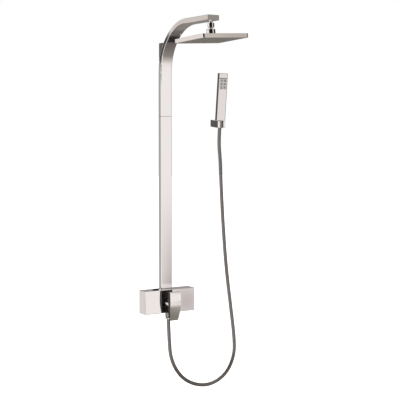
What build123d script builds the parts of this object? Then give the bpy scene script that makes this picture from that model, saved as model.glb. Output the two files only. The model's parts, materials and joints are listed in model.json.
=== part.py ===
from build123d import *
import os
from math import cos, pi, radians, sin, sqrt, tan

# Rainfall shower column: a box mixer with a front lever, a flat riser that bends into an arm, a square rain
# head on a ball joint, and a stick hand shower on a ribbed metal hose, parked in its own wall holder.
# The wall is the plane Y = 0, the front faces -Y, +Z is up, and the origin is the middle of the mixer's
# back.
# Sizes are in millimetres and angles in degrees. A depth is a distance in front of the wall.

# Fits
slip_gap = 0.2        # round a fixed piece in its opening
running_gap = 0.05    # round a shaft, ball or ring that turns
moving_gap = 0.3      # between bodies that move past each other
seam_gap = 0.1        # between stacked faces that slide or spin

# Mixer casing
mixer_width = 228.0
mixer_height = 93.0
mixer_depth = 50.0
casing_wall = 2.5
casing_edge = 2.0
back_plate_thickness = 2.0
inlet_spacing = 150.0
inlet_bore_radius = 9.3     # G1/2 internal thread, minor diameter
inlet_bore_length = 12.0
inlet_filter_radius = 8.2   # of the step behind the thread
inlet_filter_thickness = 1.5
inlet_filter_hole = 5.5

# Valve body
boss_wall = 4.2
barrel_radius = 12.0
barrel_depth = 16.0
passage_radius = 5.0
port_radius = 2.4
port_offset = 6.0

# Cartridge, on an axis square to the wall
cartridge_z = -8.0
cartridge_radius = 12.5
cartridge_neck_radius = 10.2
cartridge_wall = 1.8
cartridge_floor = 2.0
base_seal_thickness = 1.0
ceramic_thickness = 2.5
moving_disc_radius = 6.7
driver_thickness = 2.0
driver_reach = 7.0          # from the lever pivot back to the driver's front face
carrier_flange = 1.7
pivot_stand = 3.0           # lever pivot in front of the casing
stem_side = 7.0
stem_finger_radius = 1.8
stem_pin_radius = 1.5
cartridge_nut_flange = 2.5

# Dome and lever
dome_radius = 18.5
dome_wall = 1.8
dome_opening = 11.0
lever_width = 49.0
lever_tip_width = 36.0
lever_top = 40.0
lever_tip = -74.0
lever_bend_high = 8.0       # the paddle's front bends between these heights
lever_bend_low = -20.0
lever_taper_z = -14.0       # its sides draw in below this
lever_front = 91.7          # depth of the paddle's front at the top of its bend
lever_high_lean = 4.0       # degrees, of the front above the bend
lever_low_lean = 11.0       # and below it, the other way
lever_thickness = 16.7
lever_tip_thickness = 4.0
lever_hub_radius = 17.0
lever_screw_radius = 2.4
lever_screw_length = 10.0
lever_plug_length = 3.0
lever_edge = 1.0

# Riser and arm
riser_width = 50.0
riser_depth = 20.0
riser_wall = 1.5
riser_corner = 2.5
riser_stand = 2.0           # behind the riser, off the wall
seam_height = 735.0
seam_width = 1.2            # of the gasket between the two tubes
seam_recess = 0.5
arm_top = 1104.0
arm_reach = 363.0
bend_radius = 200.0         # outside of the bend
end_cap_thickness = 2.5
spigot_radius = 7.5
spigot_bore = 4.5
spigot_length = 46.0
base_plug_height = 32.0
coupling_length = 70.0
coupling_wall = 2.0
seal_height = 2.4
seal_thickness = 1.0
o_ring_section = 0.9

# Wall bracket of the riser
bracket_width = 41.0
bracket_rise = 50.0         # above the start of the bend
bracket_height = 70.0
bracket_wall = 2.0
bracket_plate_thickness = 3.0
bracket_hole_radius = 2.75
bracket_hole_spacing = 22.0
bracket_hole_rise = 50.0    # above the bracket's foot
bracket_tongue_thickness = 4.0
bracket_tongue_reach = 14.0
bracket_screw_radius = 2.0

# Ball joint and rain head
head_setback = 18.0         # ball joint behind the arm's end
ball_drop = 38.0            # ball centre below the arm
ball_radius = 11.0
ball_neck_radius = 6.0
ball_barrel_radius = 13.0
ball_barrel_height = 16.5
ball_barrel_low = 13.0      # above the ball centre
ball_bore = 3.5
arm_thread_radius = 6.4
arm_boss_radius = 9.0
ball_seat_thickness = 1.8
ball_seat_low = -3.0
ball_seat_high = 1.5
ball_room = 0.8             # round the ball inside the head's boss
collar_radius = 17.0
collar_top = 7.3
collar_stand = 1.5          # above the head's top
collar_lip_low = 5.4
collar_opening = 9.4
head_size = 200.0
head_height = 16.0
head_wall = 1.5
head_corner = 8.0
head_drop = 19.4            # head's top below the ball centre
head_tilt_front = 2.0       # front edge up
head_tilt_side = 3.0        # right edge up
head_boss_radius = 14.5
head_boss_top = -7.2        # from the ball centre
head_boss_bore = 5.0
head_plate_thickness = 2.5
head_gasket_thickness = 1.2
nozzle_count = 9
nozzle_pitch = 20.0
nozzle_radius = 2.0
nozzle_stand = 2.0

# Hose outlet and hose
outlet_depth = 34.0
outlet_radius = 10.4        # G1/2 external thread
outlet_bore = 6.0
outlet_flange_radius = 11.5
outlet_length = 12.0
hose_nut_radius = 12.0
hose_nut_top = 1.5          # below the casing
hose_nut_length = 22.0
hose_washer_thickness = 2.0
ferrule_radius = 8.6
ferrule_flange_radius = 9.6
ferrule_flange = 2.5
ferrule_stand = 4.0         # ferrule's end past its nut
hose_radius = 7.0
hose_groove_radius = 6.3
hose_bore = 4.5
hose_rib_count = 100

# Hand shower and its holder, on a leaning axis
holder_x = 241.0
holder_z = 719.0            # fork's top on the hand shower's axis
holder_lean = 6.0
holder_width = 35.5
holder_reach = 56.0
holder_height = 28.0
holder_edge = 1.2
seat_depth = 44.0
fork_slot = 18.0
holder_plate_width = 25.0
holder_plate_height = 14.0
holder_plate_thickness = 4.0
holder_pocket_depth = 14.0
holder_hole_spacing = 15.0
holder_hole_radius = 2.25
holder_screw_radius = 2.0
liner_wall = 1.2
cone_top_radius = 11.5
cone_end_radius = 9.2
cone_length = 30.0
handset_width = 43.0
handset_thickness = 14.0
handset_length = 192.0
handset_wall = 1.8
handset_corner = 3.5
handset_top_edge = 3.0
handset_low_edge = 1.0
handset_stand = 1.0         # above the fork
handset_thread_radius = 8.0
handset_thread_length = 10.0
handset_thread_bore = 5.0
spray_plate_width = 34.0
spray_plate_height = 42.5
spray_plate_thickness = 2.0
spray_plate_low = 127.0     # above the hand shower's lower end
spray_groove = 2.4          # shadow groove across the front, above the spray plate
spray_groove_rise = 2.2     # its middle above the plate
spray_groove_depth = 1.0
spray_columns = 2           # of groups of four nozzles
spray_rows = 3
spray_pitch_x = 16.0
spray_pitch_z = 14.0
spray_nozzle_pitch = 4.6
spray_nozzle_radius = 1.9
spray_nozzle_stand = 0.8

# Diverter, a pull knob under the mixer
diverter_x = 30.0
diverter_depth = 24.0
diverter_bore = 6.0
diverter_rod_radius = 2.5
diverter_bore_top = -9.0
diverter_bush_length = 8.0
diverter_piston_length = 9.0
diverter_stroke = 8.0
diverter_knob_radius = 8.0
diverter_knob_length = 10.0
diverter_knob_gap = 1.5


def facing(depth):
    """Plane parallel to the wall at a depth, with local X right, local Y up and its normal to the front."""
    return Plane.XZ.offset(depth)


def lathe(plane, outline, mode=Mode.ADD):
    """Turn a closed outline of (along, radius) points about the plane's own X axis."""
    with BuildSketch(plane) as section:
        with BuildLine():
            Polyline(*outline, close=True)
        make_face()
    revolve(section.sketch, axis=Axis(plane.origin, plane.x_dir), mode=mode)


def post(plane, radius, length, mode=Mode.ADD):
    """Round bar that stands on a plane."""
    with BuildSketch(plane) as section:
        Circle(radius)
    extrude(section.sketch, amount=length, mode=mode)


def upright(x, depth, z):
    """Turning plane of a vertical axis, with its along direction up."""
    return Plane(origin=(x, -depth, z), x_dir=(0, 0, 1), z_dir=(0, 1, 0))


def level(x, depth, z):
    """Plane that faces up at a point."""
    return Plane(origin=(x, -depth, z), x_dir=(1, 0, 0), z_dir=(0, 0, 1))


def ring(plane, ring_radius, section_radius, along=0.0, mode=Mode.ADD):
    """Seal ring of hexagonal section about the plane's X axis."""
    with BuildSketch(plane) as section:
        with Locations((along, ring_radius)):
            RegularPolygon(section_radius, 6)
    revolve(section.sketch, axis=Axis(plane.origin, plane.x_dir), mode=mode)


# Levels that several pieces share
half_height = mixer_height / 2
inside_top = half_height - casing_wall
pivot_depth = mixer_depth + pivot_stand
cartridge_axis = Plane(origin=(0, 0, cartridge_z), x_dir=(0, -1, 0), z_dir=(1, 0, 0))
driver_front = pivot_depth - driver_reach
driver_back = driver_front - driver_thickness
fixed_front = driver_back - ceramic_thickness - seam_gap
housing_floor = fixed_front - ceramic_thickness
housing_back = housing_floor - cartridge_floor
chamber_back = housing_back - base_seal_thickness
flange_back = driver_front + moving_gap
cavity_front = flange_back + carrier_flange + seam_gap
shoulder_depth = cavity_front + seam_gap + 1.0
housing_front = pivot_depth + 5.0
valve_shoulder = mixer_depth - casing_wall - slip_gap
valve_neck = mixer_depth + 2.0
riser_axis_depth = riser_stand + riser_depth / 2
riser_boss_radius = spigot_radius + slip_gap + 1.6
bend_depth = riser_stand + bend_radius
bend_z = arm_top - bend_radius
ball_z = arm_top - riser_depth - ball_drop
head_depth = arm_reach - head_setback
bracket_low = bend_z + bracket_rise
outlet_z = -half_height

# Mixer casing: an open-backed box with a dome opening in front and outlet openings above and below
with BuildPart() as mixer_casing:
    with BuildSketch(facing(0)):
        Rectangle(mixer_width, mixer_height)
    extrude(amount=mixer_depth)
    back_edges = mixer_casing.faces().sort_by(Axis.Y)[-1].edges()
    fillet([edge for edge in mixer_casing.edges() if edge not in back_edges], radius=casing_edge)
    with BuildSketch(facing(0)):
        Rectangle(mixer_width - 2 * casing_wall, mixer_height - 2 * casing_wall)
    extrude(amount=mixer_depth - casing_wall, mode=Mode.SUBTRACT)
    with BuildSketch(facing(0)):
        with Locations((0, cartridge_z)):
            Circle(dome_radius + slip_gap)
    extrude(amount=mixer_depth, mode=Mode.SUBTRACT)
    post(level(0, riser_axis_depth, 0), spigot_radius + slip_gap, half_height, Mode.SUBTRACT)
    post(level(0, outlet_depth, outlet_z), outlet_radius + slip_gap, half_height, Mode.SUBTRACT)
    post(level(diverter_x, diverter_depth, outlet_z), diverter_bore + slip_gap, half_height, Mode.SUBTRACT)

# Back plate: closes the casing flush with the wall, open round the two inlets
inlet_boss_radius = inlet_bore_radius + boss_wall
with BuildPart() as back_plate:
    with BuildSketch(facing(0)):
        Rectangle(mixer_width - 2 * (casing_wall + slip_gap), mixer_height - 2 * (casing_wall + slip_gap))
        with GridLocations(inlet_spacing, 0, 2, 1):
            Circle(inlet_boss_radius + slip_gap, mode=Mode.SUBTRACT)
    extrude(amount=back_plate_thickness)

# Valve body: a barrel between the two inlets, with bosses for cartridge, riser, hose outlet and diverter
barrel_length = inlet_spacing + 2 * inlet_boss_radius
boss_bottom = outlet_z + casing_wall + slip_gap
outlet_boss_radius = outlet_radius + 2.5
diverter_boss_radius = diverter_bore + 3.0
with BuildPart() as valve_body:
    barrel_end = Plane(origin=(-barrel_length / 2, -barrel_depth, 0), z_dir=(1, 0, 0))
    post(barrel_end, barrel_radius, barrel_length)
    with BuildSketch(facing(0)):
        with GridLocations(inlet_spacing, 0, 2, 1):
            Circle(inlet_boss_radius)
    extrude(amount=barrel_depth)
    boss_radius = dome_radius - 0.5
    neck_radius = dome_radius - dome_wall - 1.2
    lathe(cartridge_axis, [(barrel_depth, 0), (barrel_depth, boss_radius), (valve_shoulder, boss_radius),
                           (valve_shoulder, neck_radius), (valve_neck, neck_radius), (valve_neck, 0)])
    post(level(0, riser_axis_depth, 0), riser_boss_radius, inside_top - slip_gap)
    post(level(0, outlet_depth, boss_bottom), outlet_boss_radius, cartridge_z - boss_bottom)
    post(level(diverter_x, diverter_depth, boss_bottom), diverter_boss_radius, -boss_bottom)
    lathe(cartridge_axis, [(chamber_back, 0), (chamber_back, cartridge_radius + slip_gap),
                           (valve_neck, cartridge_radius + slip_gap), (valve_neck, 0)], Mode.SUBTRACT)
    for radius, length in ((inlet_bore_radius, inlet_bore_length),
                           (inlet_filter_radius, inlet_bore_length + inlet_filter_thickness),
                           (passage_radius, barrel_depth)):
        with BuildSketch(facing(0)):
            with GridLocations(inlet_spacing, 0, 2, 1):
                Circle(radius)
        extrude(amount=length, mode=Mode.SUBTRACT)
    for side in (-1, 1):
        passage_end = Plane(origin=(side * inlet_spacing / 2, -barrel_depth, 0), z_dir=(-side, 0, 0))
        post(passage_end, passage_radius, inlet_spacing / 2 - port_offset + port_radius, Mode.SUBTRACT)
    with BuildSketch(facing(barrel_depth)):
        with Locations((-port_offset, cartridge_z / 2), (port_offset, cartridge_z / 2)):
            Circle(port_radius)
    extrude(amount=chamber_back - barrel_depth, mode=Mode.SUBTRACT)
    with BuildSketch(facing(outlet_depth - passage_radius)):
        with Locations((0, cartridge_z - port_offset)):
            Circle(port_radius)
    extrude(amount=chamber_back - outlet_depth + passage_radius, mode=Mode.SUBTRACT)
    post(level(0, riser_axis_depth, half_height - spigot_length / 2), spigot_radius + slip_gap, half_height,
         Mode.SUBTRACT)
    post(level(0, outlet_depth, outlet_z), outlet_radius + slip_gap, casing_wall + outlet_length,
         Mode.SUBTRACT)
    post(level(diverter_x, diverter_depth, outlet_z), diverter_bore, diverter_bore_top - outlet_z,
         Mode.SUBTRACT)

# Inlet filters: flat washers in a step behind the inlet threads
with BuildPart() as inlet_filters:
    with BuildSketch(facing(inlet_bore_length)):
        with GridLocations(inlet_spacing, 0, 2, 1):
            Circle(inlet_filter_radius - seam_gap)
            Circle(inlet_filter_hole, mode=Mode.SUBTRACT)
    extrude(amount=inlet_filter_thickness)

# Cartridge housing: a stepped cup with three ports in its floor
with BuildPart() as cartridge_housing:
    bowl_radius = cartridge_radius - cartridge_wall
    throat_radius = cartridge_neck_radius - cartridge_wall
    lathe(cartridge_axis, [(housing_back, 0), (housing_back, cartridge_radius),
                           (shoulder_depth, cartridge_radius), (shoulder_depth, cartridge_neck_radius),
                           (housing_front, cartridge_neck_radius),
                           (housing_front, throat_radius), (cavity_front, throat_radius),
                           (cavity_front, bowl_radius), (housing_floor, bowl_radius), (housing_floor, 0)])
    with BuildSketch(facing(housing_back)):
        with Locations((0, cartridge_z)):
            with PolarLocations(port_offset, 3, start_angle=30):
                Circle(port_radius)
    extrude(amount=cartridge_floor, mode=Mode.SUBTRACT)

# Base seal under the cartridge, with the same three ports
with BuildPart() as cartridge_base_seal:
    with BuildSketch(facing(chamber_back)):
        with Locations((0, cartridge_z)):
            Circle(cartridge_radius - slip_gap)
            with PolarLocations(port_offset, 3, start_angle=30):
                Circle(port_radius, mode=Mode.SUBTRACT)
    extrude(amount=base_seal_thickness)

# Fixed ceramic disc, with the same three ports
with BuildPart() as fixed_ceramic_disc:
    with BuildSketch(facing(housing_floor)):
        with Locations((0, cartridge_z)):
            Circle(cartridge_radius - cartridge_wall - slip_gap)
            with PolarLocations(port_offset, 3, start_angle=30):
                Circle(port_radius, mode=Mode.SUBTRACT)
    extrude(amount=ceramic_thickness)

# Moving ceramic disc: slides and turns on the fixed one, with a mixing recess in its back
with BuildPart() as moving_ceramic_disc:
    with BuildSketch(facing(fixed_front + seam_gap)):
        with Locations((0, cartridge_z)):
            Circle(moving_disc_radius)
    extrude(amount=ceramic_thickness)
    with BuildSketch(facing(fixed_front + seam_gap)):
        with Locations((0, cartridge_z)):
            SlotOverall(moving_disc_radius, moving_disc_radius / 2)
    extrude(amount=ceramic_thickness / 2, mode=Mode.SUBTRACT)

# Disc driver: sits on the moving disc and takes the stem's finger in a slot
finger_slot_height = 2 * stem_finger_radius + 2.0
with BuildPart() as disc_driver:
    with BuildSketch(facing(driver_back)):
        with Locations((0, cartridge_z)):
            Circle(moving_disc_radius)
            Rectangle(2 * (stem_finger_radius + moving_gap), finger_slot_height, mode=Mode.SUBTRACT)
    extrude(amount=driver_thickness)

# Stem carrier: turns in the housing's throat, slotted for the stem's swing and cross-bored for its pin
with BuildPart() as stem_carrier:
    carrier_front = housing_front - seam_gap
    lathe(cartridge_axis, [(flange_back, 0), (flange_back, bowl_radius - running_gap),
                           (flange_back + carrier_flange, bowl_radius - running_gap),
                           (flange_back + carrier_flange, throat_radius - running_gap),
                           (carrier_front, throat_radius - running_gap), (carrier_front, 0)])
    with BuildSketch(facing(flange_back)):
        with Locations((0, cartridge_z)):
            Rectangle(stem_side + 2 * moving_gap, 2 * throat_radius - 4.4)
    extrude(amount=carrier_front - flange_back, mode=Mode.SUBTRACT)
    post(Plane(origin=(-throat_radius, -pivot_depth, cartridge_z), z_dir=(1, 0, 0)), stem_pin_radius,
         2 * throat_radius, Mode.SUBTRACT)

# Stem pin: pressed into the carrier across the slot
stem_pin_length = 2 * sqrt((throat_radius - moving_gap) ** 2 - stem_pin_radius ** 2)
with BuildPart() as stem_pin:
    post(Plane(origin=(-stem_pin_length / 2, -pivot_depth, cartridge_z), z_dir=(1, 0, 0)), stem_pin_radius,
         stem_pin_length)

# Cartridge stem: a square bar on the pin, with a round finger that pushes the driver
lever_back = lever_front - lever_thickness
stem_front = lever_front - 8.2
finger_end = driver_back + moving_gap
finger_root = pivot_depth - stem_side / 2
with BuildPart() as cartridge_stem:
    with BuildSketch(facing(finger_root)):
        with Locations((0, cartridge_z)):
            Rectangle(stem_side, stem_side)
    extrude(amount=stem_front - finger_root)
    chamfer(cartridge_stem.faces().sort_by(Axis.Y)[0].edges(), length=0.6)
    with BuildSketch(facing(finger_end)):
        with Locations((0, cartridge_z)):
            Circle(stem_finger_radius)
    extrude(amount=finger_root - finger_end)
    post(Plane(origin=(-stem_side, -pivot_depth, cartridge_z), z_dir=(1, 0, 0)),
         stem_pin_radius + running_gap, 2 * stem_side, Mode.SUBTRACT)

# Cartridge nut: screws into the valve body round the cartridge's neck
nut_bore = cartridge_neck_radius + slip_gap
nut_flange_radius = dome_radius - dome_wall - 2.2
with BuildPart() as cartridge_nut:
    lathe(cartridge_axis, [(shoulder_depth, nut_bore), (shoulder_depth, cartridge_radius),
                           (valve_neck, cartridge_radius), (valve_neck, nut_flange_radius),
                           (valve_neck + cartridge_nut_flange, nut_flange_radius),
                           (valve_neck + cartridge_nut_flange, nut_bore)])

# Dome: a round skirt that ends in a ball about the lever's pivot, open for the stem
dome_inside = dome_radius - dome_wall
dome_front = pivot_depth + sqrt(dome_radius ** 2 - dome_opening ** 2)
with BuildPart() as cartridge_dome:
    with BuildSketch(cartridge_axis):
        with BuildLine():
            skirt = Line((valve_shoulder, dome_radius), (pivot_depth, dome_radius))
            slant = Vector(sin(radians(25)), cos(radians(25)))
            outside = ThreePointArc(skirt @ 1, Vector(pivot_depth, 0) + slant * dome_radius,
                                    (dome_front, dome_opening))
            inside_front = pivot_depth + sqrt(dome_inside ** 2 - dome_opening ** 2)
            lip = Line(outside @ 1, (inside_front, dome_opening))
            inside = ThreePointArc(lip @ 1, Vector(pivot_depth, 0) + slant * dome_inside,
                                   (pivot_depth, dome_inside))
            Polyline(inside @ 1, (valve_shoulder, dome_inside), skirt @ 0)
        make_face()
    revolve(axis=Axis(cartridge_axis.origin, cartridge_axis.x_dir))

# Lever: a paddle bent back at its middle, with a cupped hub that rides over the dome
with BuildPart() as lever_handle:
    with BuildSketch(Plane.YZ):
        with BuildLine():
            crown_set = (lever_top - lever_bend_high) * tan(radians(lever_high_lean))
            face = Line((crown_set - lever_front, lever_top), (-lever_front, lever_bend_high))
            bend_lean = (lever_low_lean - lever_high_lean) / 2
            bend_set = (lever_bend_high - lever_bend_low) * tan(radians(bend_lean))
            bend = TangentArc(face @ 1, (bend_set - lever_front, lever_bend_low), tangent=face % 1)
            tip_set = bend_set + (lever_bend_low - lever_tip) * tan(radians(lever_low_lean))
            Polyline(bend @ 1, (tip_set - lever_front, lever_tip),
                     (tip_set - lever_front + lever_tip_thickness, lever_tip),
                     (-lever_back, lever_bend_low), (-lever_back, lever_top), face @ 0)
        make_face()
    extrude(amount=lever_width / 2, both=True)
    with BuildSketch(facing(0)):
        with BuildLine():
            crown = Line((-lever_width / 2, lever_top), (lever_width / 2, lever_top))
            right = Line(crown @ 1, (lever_width / 2, lever_taper_z))
            right_taper = TangentArc(right @ 1, (lever_tip_width / 2, lever_tip), tangent=(0, -1))
            tip = Line(right_taper @ 1, (-lever_tip_width / 2, lever_tip))
            left = Line(crown @ 0, (-lever_width / 2, lever_taper_z))
            TangentArc(left @ 1, tip @ 1, tangent=(0, -1))
        make_face()
    extrude(amount=2 * lever_front, mode=Mode.INTERSECT)
    fillet(lever_handle.faces().sort_by(Axis.Z)[-1].edges(), radius=lever_edge)
    lathe(cartridge_axis, [(mixer_depth + 12.0, 0), (mixer_depth + 12.0, lever_hub_radius),
                           (lever_back + 2.0, lever_hub_radius), (lever_back + 2.0, 0)])
    with Locations((0, -pivot_depth, cartridge_z)):
        Sphere(dome_radius + moving_gap, mode=Mode.SUBTRACT)
    with BuildSketch(facing(pivot_depth)):
        with Locations((0, cartridge_z)):
            Rectangle(stem_side + 2 * running_gap, stem_side + 2 * running_gap)
    extrude(amount=stem_front - pivot_depth + running_gap, mode=Mode.SUBTRACT)
    screw_depth = stem_front - lever_screw_radius
    stem_top = cartridge_z + stem_side / 2
    post(level(0, screw_depth, stem_top), lever_screw_radius + running_gap, lever_top - stem_top,
         Mode.SUBTRACT)

# Lever grub screw: bears on the stem from above
with BuildPart() as lever_grub_screw:
    post(level(0, screw_depth, stem_top), lever_screw_radius, lever_screw_length)
    with BuildSketch(level(0, screw_depth, stem_top + lever_screw_length)):
        RegularPolygon(lever_screw_radius / 2, 6)
    extrude(amount=-lever_screw_length / 3, mode=Mode.SUBTRACT)

# Lever plug: closes the screw's bore in the lever's top
with BuildPart() as lever_plug:
    post(level(0, screw_depth, lever_top - lever_plug_length), lever_screw_radius, lever_plug_length)

# Diverter bush: closes the diverter's bore round its rod
with BuildPart() as diverter_bush:
    lathe(upright(diverter_x, diverter_depth, outlet_z),
          [(0, diverter_rod_radius + running_gap), (0, diverter_bore - running_gap),
           (diverter_bush_length, diverter_bore - running_gap),
           (diverter_bush_length, diverter_rod_radius + running_gap)])

# Diverter spool: a grooved piston on its rod
piston_low = outlet_z + diverter_bush_length + diverter_stroke + moving_gap
rod_low = outlet_z - diverter_knob_gap - diverter_knob_length / 2
piston_radius = diverter_bore - 2 * running_gap
groove_floor = piston_radius - 2 * o_ring_section
with BuildPart() as diverter_spool:
    groove_low = piston_low + diverter_piston_length / 2 - o_ring_section
    groove_high = groove_low + 2 * o_ring_section
    piston_high = piston_low + diverter_piston_length
    lathe(upright(diverter_x, diverter_depth, 0),
          [(rod_low, 0), (rod_low, diverter_rod_radius), (piston_low, diverter_rod_radius),
           (piston_low, piston_radius), (groove_low, piston_radius), (groove_low, groove_floor),
           (groove_high, groove_floor), (groove_high, piston_radius), (piston_high, piston_radius),
           (piston_high, 0)])

# Diverter seal in the piston's groove
with BuildPart() as diverter_o_ring:
    ring(upright(diverter_x, diverter_depth, groove_low + o_ring_section), groove_floor + o_ring_section,
         o_ring_section - running_gap)

# Diverter knob: a waisted pull on the rod's end
knob_high = outlet_z - diverter_knob_gap
knob_low = knob_high - diverter_knob_length
with BuildPart() as diverter_knob:
    lathe(upright(diverter_x, diverter_depth, 0),
          [(knob_high, 0), (knob_high, diverter_knob_radius * 0.75),
           (knob_high - diverter_knob_length * 0.4, diverter_knob_radius * 0.7),
           (knob_high - diverter_knob_length * 0.6, diverter_knob_radius), (knob_low, diverter_knob_radius),
           (knob_low, 0)])
    fillet(diverter_knob.faces().sort_by(Axis.Z)[0].edges(), radius=1.0)
    post(level(diverter_x, diverter_depth, rod_low), diverter_rod_radius, knob_high - rod_low,
         Mode.SUBTRACT)

# Riser spigot: a bored nipple from the valve body up into the riser's base plug
spigot_low = half_height - spigot_length / 2
spigot_grooves = [half_height + base_plug_height * share for share in (0.3, 0.55)]
spigot_axis = upright(0, riser_axis_depth, 0)
spigot_groove_radius = spigot_radius - 2 * o_ring_section + 0.1
with BuildPart() as riser_spigot:
    spigot_high = spigot_low + spigot_length
    lathe(spigot_axis, [(spigot_low, spigot_bore), (spigot_low, spigot_radius),
                        (spigot_high, spigot_radius), (spigot_high, spigot_bore)])
    for groove in spigot_grooves:
        low = groove - o_ring_section
        high = groove + o_ring_section
        lathe(spigot_axis, [(low, spigot_groove_radius), (low, spigot_radius), (high, spigot_radius),
                            (high, spigot_groove_radius)], Mode.SUBTRACT)

# Spigot seals
with BuildPart() as spigot_o_rings:
    for groove in spigot_grooves:
        ring(spigot_axis, spigot_groove_radius + o_ring_section, o_ring_section - running_gap, groove)

# Riser base plug: brazed in the riser's foot and bored for the spigot
plug_width = riser_width - 2 * (riser_wall + running_gap)
plug_depth = riser_depth - 2 * (riser_wall + running_gap)
plug_corner = riser_corner - riser_wall
with BuildPart() as riser_base_plug:
    with BuildSketch(level(0, riser_axis_depth, half_height)):
        RectangleRounded(plug_width, plug_depth, plug_corner)
        Circle(spigot_radius + slip_gap / 2, mode=Mode.SUBTRACT)
    extrude(amount=base_plug_height)

# Lower riser: a straight flat tube from the mixer to the seam
seam_low = seam_height - seam_width / 2
seam_high = seam_height + seam_width / 2
with BuildPart() as lower_riser:
    with BuildSketch(level(0, riser_axis_depth, half_height)):
        RectangleRounded(riser_width, riser_depth, riser_corner)
        RectangleRounded(riser_width - 2 * riser_wall, riser_depth - 2 * riser_wall, plug_corner,
                         mode=Mode.SUBTRACT)
    extrude(amount=seam_low - half_height)

# Riser coupling: a sleeve inside the seam, grooved for two seals
coupling_low = seam_height - coupling_length / 2
coupling_grooves = [seam_height + side * coupling_length / 4 for side in (-1, 1)]
with BuildPart() as riser_coupling:
    with BuildSketch(level(0, riser_axis_depth, coupling_low)):
        RectangleRounded(plug_width, plug_depth, plug_corner)
        RectangleRounded(plug_width - 2 * coupling_wall, plug_depth - 2 * coupling_wall, plug_corner / 2,
                         mode=Mode.SUBTRACT)
    extrude(amount=coupling_length)
    for groove in coupling_grooves:
        with BuildSketch(level(0, riser_axis_depth, groove - seal_height / 2)):
            RectangleRounded(plug_width, plug_depth, plug_corner)
            RectangleRounded(plug_width - 2 * seal_thickness, plug_depth - 2 * seal_thickness,
                             plug_corner / 2, mode=Mode.SUBTRACT)
        extrude(amount=seal_height, mode=Mode.SUBTRACT)

# Coupling seals: flat rubber bands in those grooves, and a recessed gasket that shows as the seam
with BuildPart() as coupling_seals:
    with BuildSketch(level(0, riser_axis_depth, seam_low)):
        RectangleRounded(riser_width - 2 * seam_recess, riser_depth - 2 * seam_recess,
                         riser_corner - seam_recess)
        RectangleRounded(riser_width - 2 * riser_wall, riser_depth - 2 * riser_wall, plug_corner,
                         mode=Mode.SUBTRACT)
    extrude(amount=seam_width)
    for groove in coupling_grooves:
        with BuildSketch(level(0, riser_axis_depth, groove - seal_height / 2)):
            RectangleRounded(plug_width, plug_depth, plug_corner)
            RectangleRounded(plug_width - 2 * seal_thickness, plug_depth - 2 * seal_thickness,
                             plug_corner / 2, mode=Mode.SUBTRACT)
        extrude(amount=seal_height)

# Arm tube: the same flat section, up from the seam, round the bend and out over the head
arm_end = -arm_reach + end_cap_thickness
with BuildPart() as arm_tube:
    with BuildLine():
        upright_run = Line((0, -riser_axis_depth, seam_high), (0, -riser_axis_depth, bend_z))
        sweep_radius = bend_radius - riser_depth / 2
        half_side = sweep_radius * cos(radians(45))
        middle = (0, -bend_depth + half_side, bend_z + half_side)
        bend = ThreePointArc(upright_run @ 1, middle, (0, -bend_depth, bend_z + sweep_radius))
        Line(bend @ 1, (0, arm_end, bend_z + sweep_radius))
    with BuildSketch(level(0, riser_axis_depth, seam_high)):
        RectangleRounded(riser_width, riser_depth, riser_corner)
        RectangleRounded(riser_width - 2 * riser_wall, riser_depth - 2 * riser_wall, plug_corner,
                         mode=Mode.SUBTRACT)
    sweep()
    post(level(0, head_depth, ball_z), arm_thread_radius + slip_gap, ball_drop + riser_wall + slip_gap,
         Mode.SUBTRACT)

# Arm end cap: a flat plate with a lip that plugs the arm's front end
with BuildPart() as arm_end_cap:
    with BuildSketch(facing(arm_reach - end_cap_thickness)):
        with Locations((0, arm_top - riser_depth / 2)):
            RectangleRounded(riser_width, riser_depth, riser_corner)
    extrude(amount=end_cap_thickness)
    with BuildSketch(facing(arm_reach - 2 * end_cap_thickness)):
        with Locations((0, arm_top - riser_depth / 2)):
            RectangleRounded(plug_width, plug_depth, plug_corner)
            RectangleRounded(plug_width - 2 * coupling_wall, plug_depth - 2 * coupling_wall,
                             plug_corner / 2, mode=Mode.SUBTRACT)
    extrude(amount=end_cap_thickness)

# Arm outlet boss: brazed inside the arm and threaded for the ball stud
arm_floor = arm_top - riser_depth + riser_wall
with BuildPart() as arm_outlet_boss:
    boss_height = riser_depth - 2 * riser_wall - slip_gap
    lathe(upright(0, head_depth, arm_floor),
          [(0, arm_thread_radius + running_gap), (0, arm_boss_radius), (boss_height, arm_boss_radius),
           (boss_height, arm_thread_radius + running_gap)])
    with BuildSketch(facing(head_depth - arm_boss_radius)):
        with Locations((0, arm_floor + boss_height)):
            Rectangle(arm_boss_radius, boss_height)
    extrude(amount=arm_boss_radius, mode=Mode.SUBTRACT)


def arm_back(z, radius):
    """Depth of a circle about the bend's centre, on its wall side."""
    return bend_depth - sqrt(radius ** 2 - (z - bend_z) ** 2)


def bracket_outline(low, high, radius):
    """Side outline between the wall and a circle about the bend's centre."""
    middle_z = (low + high) / 2
    with BuildLine() as outline:
        ThreePointArc((-arm_back(low, radius), low), (-arm_back(middle_z, radius), middle_z),
                      (-arm_back(high, radius), high))
        Polyline((-arm_back(high, radius), high), (0, high), (0, low), (-arm_back(low, radius), low))
    return outline.line


# Bracket body: a hollow block whose front is shaped to the bend's back
bracket_high = bracket_low + bracket_height
with BuildPart() as bracket_body:
    with BuildSketch(Plane.YZ):
        make_face(bracket_outline(bracket_low, bracket_high, bend_radius + running_gap))
    extrude(amount=bracket_width / 2, both=True)
    with BuildSketch(Plane.YZ):
        make_face(bracket_outline(bracket_low + bracket_wall, bracket_high - bracket_wall,
                                  bend_radius + running_gap + bracket_wall))
    extrude(amount=bracket_width / 2 - bracket_wall, both=True, mode=Mode.SUBTRACT)
    post(level(0, bracket_tongue_reach - 2 * bracket_screw_radius, bracket_high),
         bracket_screw_radius + running_gap, -bracket_wall, Mode.SUBTRACT)

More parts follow.
